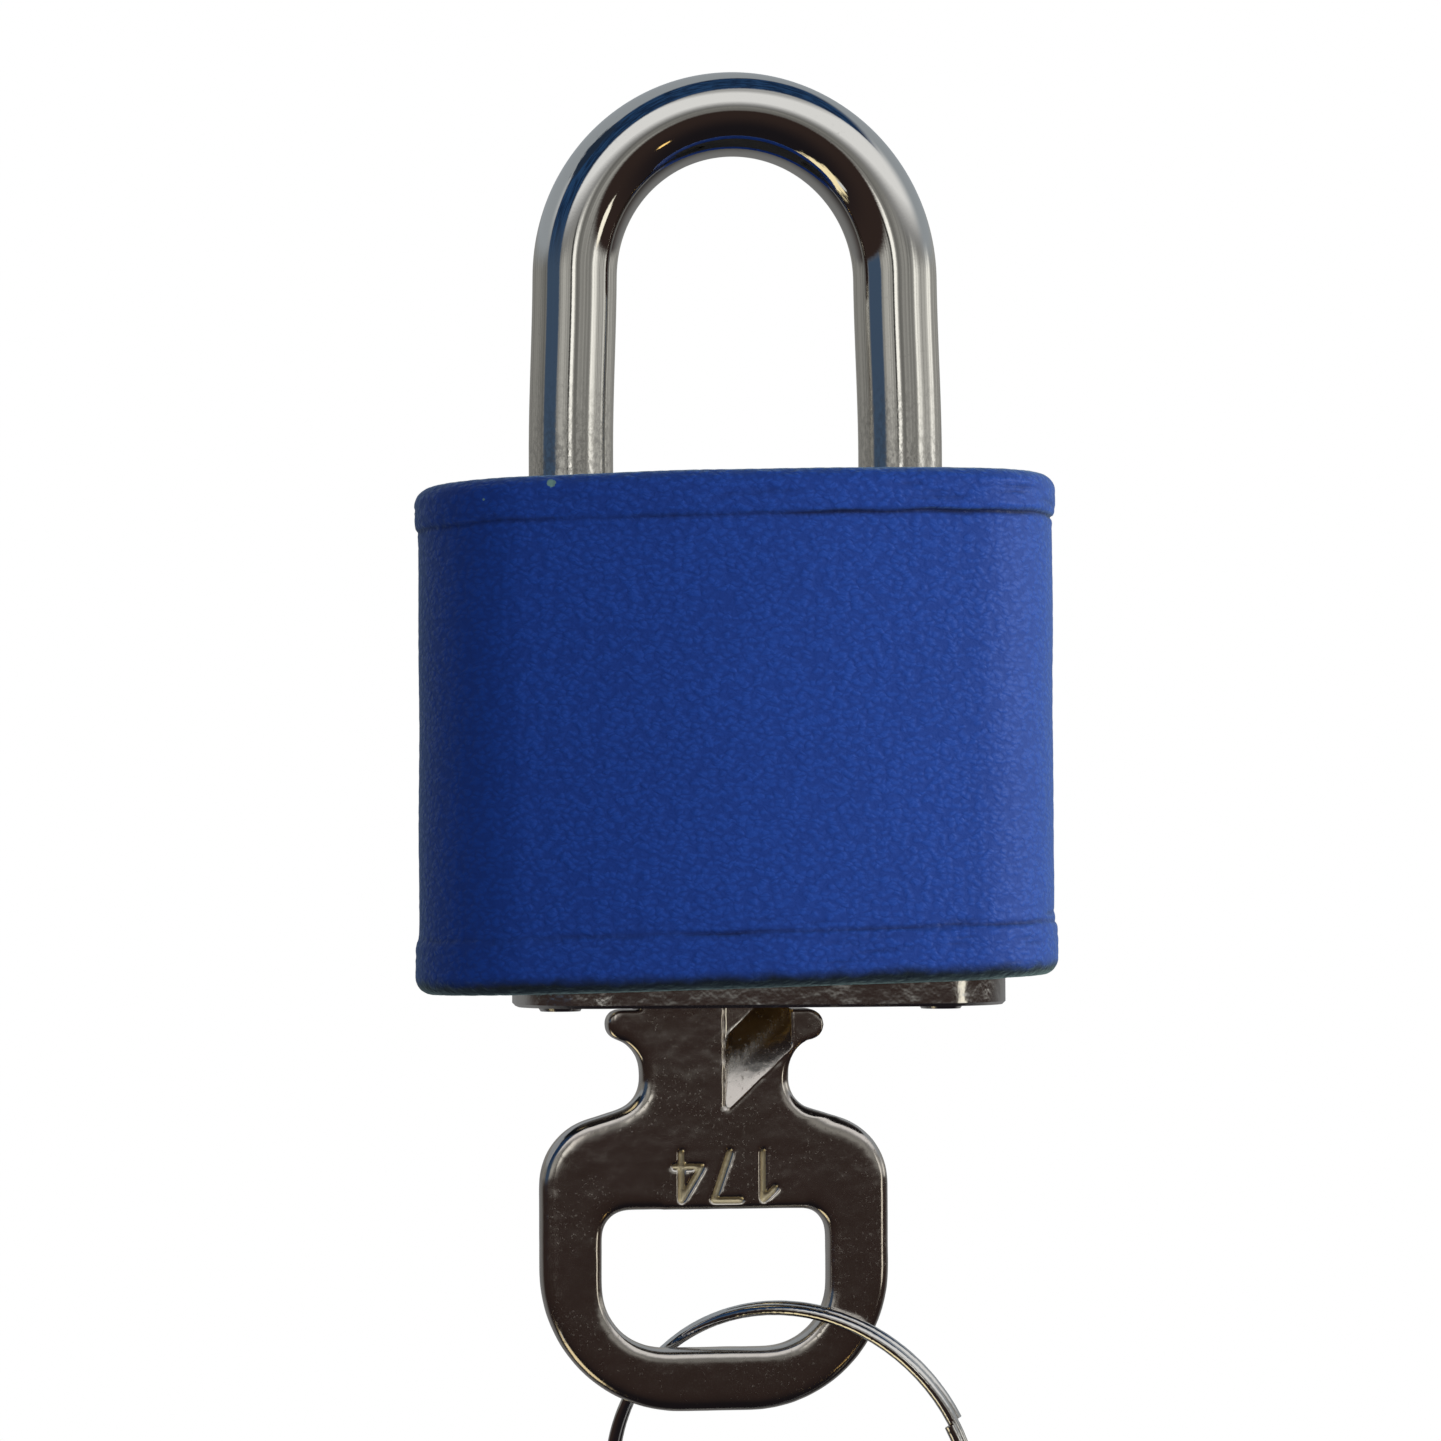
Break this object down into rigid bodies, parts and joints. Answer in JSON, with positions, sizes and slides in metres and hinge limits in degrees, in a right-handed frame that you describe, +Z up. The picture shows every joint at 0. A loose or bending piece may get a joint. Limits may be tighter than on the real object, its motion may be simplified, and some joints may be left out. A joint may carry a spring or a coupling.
{
  "type": "padlock",
  "caption": "Small luggage padlock with a leather-wrapped oval body, a round nickel shackle, a flat key in the keyway and a thin split ring.",
  "frame": {"origin": "inside of the shackle's crown, where the lock hangs", "axes": "+Z up along the shackle legs, +X to the right across the body, -Y out of the front"},
  "size_m": [0.025, 0.0128, 0.0626],
  "materials": {
    "leather": "fine pebbled grain, semi-matt, edges painted the same blue",
    "nickel": "bright nickel plate, lightly handled",
    "key_nickel": "bright nickel plate over tumbled brass, worn at the edges",
    "ring_steel": "polished spring wire",
    "brass": "machined",
    "spring_steel": "drawn wire and turned steel"
  },
  "bodies": {
    "case": {"lock_body": "brass", "bottom_flange": "brass", "top_plate": "brass", "top_screws": "spring_steel", "base_plate": "nickel", "base_rivets": "nickel", "leather_sleeve": "leather", "leather_top_panel": "leather", "chamber_plugs": "brass", "retaining_pin": "spring_steel", "driver_pin_1": "brass", "driver_pin_2": "brass", "driver_pin_3": "brass", "driver_pin_4": "brass", "pin_spring_1": "spring_steel", "pin_spring_2": "spring_steel", "pin_spring_3": "spring_steel", "pin_spring_4": "spring_steel", "shackle_spring": "spring_steel", "locking_spring": "spring_steel"},
    "shackle": {"shackle": "nickel"},
    "plug": {"plug": "brass", "cam": "spring_steel", "key_pin_1": "brass", "key_pin_2": "brass", "key_pin_3": "brass", "key_pin_4": "brass"},
    "key": {"key": "key_nickel"},
    "ring": {"split_ring": "ring_steel"}
  },
  "joints": [
    {"name": "shackle_lift", "type": "slide", "parent": "case", "child": "shackle", "axis": [0, 0, 1], "range_m": [0, 0.0063], "deforming": ["shackle_spring"]},
    {"name": "key_turn", "type": "hinge", "parent": "case", "child": "plug", "pos_m": [-0.001, 0, -0.0272], "axis": [0, 0, 1], "range_deg": [0, 90], "deforming": ["locking_spring"]},
    {"name": "key_withdraw", "type": "slide", "parent": "plug", "child": "key", "axis": [0, 0, -1], "range_m": [0, 0.0125]},
    {"name": "ring_turn", "type": "hinge", "parent": "key", "child": "ring", "pos_m": [0.0005, 0.0003, -0.0518], "axis": [0, 0, -1], "range_deg": [0, 130]}
  ]
}
